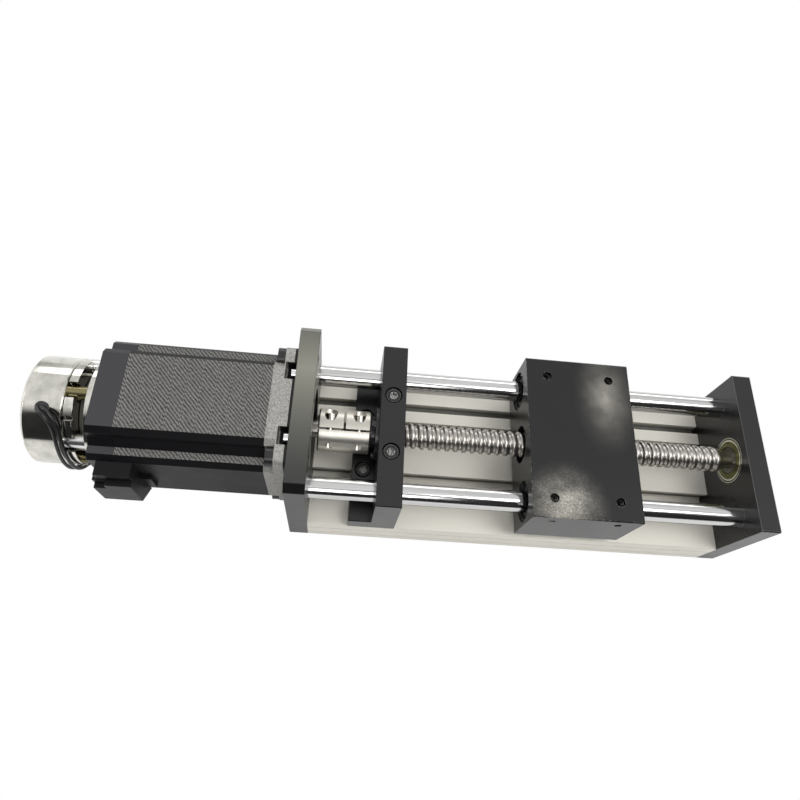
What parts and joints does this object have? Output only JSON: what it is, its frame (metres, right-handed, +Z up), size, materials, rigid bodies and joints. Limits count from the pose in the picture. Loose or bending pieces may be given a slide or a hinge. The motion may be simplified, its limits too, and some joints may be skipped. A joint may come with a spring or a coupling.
{
  "type": "ball screw linear module",
  "caption": "Ball screw linear stage with twin guide shafts, a sliding carriage, and a square stepper motor that carries a holding brake.",
  "frame": {"origin": "centre of the bottom face of the base extrusion", "axes": "+X along the screw from the motor to the end plate, +Y to the side away from the motor's connector, +Z up through the carriage's top"},
  "size_m": [0.3363, 0.078, 0.071],
  "materials": {
    "black_anodised": "black anodised, satin",
    "silver_anodised": "silver anodised, satin",
    "chrome_shaft": "hardened and ground, chrome plated",
    "screw_steel": "rolled ball screw steel, polished",
    "coupling_alloy": "turned, satin",
    "black_steel": "black oxide",
    "bright_steel": "zinc plated, bright",
    "bearing_steel": "ground bearing steel",
    "shield_zinc": "yellow zinc plated sheet",
    "lamination": "stacked steel sheets, dark",
    "cast_alloy": "cast and machined",
    "motor_black": "satin black paint",
    "copper_wire": "enamelled copper wire",
    "brake_nickel": "nickel plated, polished",
    "friction_lining": "pressed friction lining",
    "brass_sleeve": "turned brass",
    "black_plastic": "moulded, matt",
    "rubber_seal": "nitrile rubber",
    "lead_sheath": "soft insulation"
  },
  "bodies": {
    "base": {"base_extrusion": "silver_anodised", "motor_plate": "black_anodised", "end_plate": "black_anodised", "bearing_block": "black_anodised", "guide_shaft_rear": "chrome_shaft", "guide_shaft_front": "chrome_shaft", "plate_screws": "black_steel", "shaft_screws": "black_steel", "block_screws": "black_steel", "slot_nuts": "bright_steel", "fixed_bearing_outer_rings": "bearing_steel", "bearing_balls": "bearing_steel", "bearing_retainer": "black_steel", "retainer_screws": "bright_steel", "end_bearing_outer_ring": "bearing_steel", "end_bearing_shields": "shield_zinc", "motor_flange": "cast_alloy", "motor_stack": "lamination", "motor_rear_cap": "motor_black", "motor_windings": "copper_wire", "motor_bearings": "bearing_steel", "motor_mount_screws": "black_steel", "flange_top_screws": "bright_steel", "connector_box": "black_plastic", "connector_pins": "shield_zinc", "brake_magnet": "brake_nickel", "brake_coil": "copper_wire", "brake_springs": "bright_steel", "brake_mount_plate": "brake_nickel", "brake_sleeves": "bright_steel", "brake_adjusters": "brass_sleeve", "brake_screws": "bright_steel", "lead_grommet": "rubber_seal", "brake_lead_a": "lead_sheath", "brake_lead_b": "lead_sheath", "lead_coil_a": "lead_sheath", "lead_coil_b": "lead_sheath", "lead_ties": "black_plastic"},
    "screw": {"ball_screw": "screw_steel", "coupling": "coupling_alloy", "coupling_screws": "bright_steel", "bearing_inner_rings": "bearing_steel", "lock_nut": "black_steel", "bearing_spacer": "bright_steel", "end_circlip": "black_steel", "motor_rotor": "lamination", "motor_shaft": "screw_steel", "motor_bearing_inner_rings": "bearing_steel", "brake_disc": "friction_lining", "brake_hub": "brake_nickel"},
    "carriage": {"carriage": "black_anodised", "linear_bearings": "bearing_steel", "linear_bearing_cages": "black_plastic", "linear_bearing_seals": "rubber_seal", "carriage_circlips": "black_steel", "ball_nut": "bearing_steel", "nut_balls": "bearing_steel", "nut_wipers": "black_plastic"},
    "armature": {"brake_armature": "brake_nickel"}
  },
  "joints": [
    {"name": "screw_turn", "type": "hinge", "parent": "base", "child": "screw", "pos_m": [0, 0, 0.0425], "axis": [1, 0, 0], "range_deg": [-4520, 4520]},
    {"name": "carriage_travel", "type": "slide", "parent": "base", "child": "carriage", "axis": [1, 0, 0], "range_m": [-0.05, 0.05]},
    {"name": "armature_release", "type": "slide", "parent": "base", "child": "armature", "axis": [1, 0, 0], "range_m": [-0.00025, 0], "stiffness_N_per_m": 5000, "springref_m": 0.001}
  ],
  "couplings": [
    {"joint": "screw_turn", "follows": "carriage_travel", "rad_per_m": -1570.8}
  ]
}
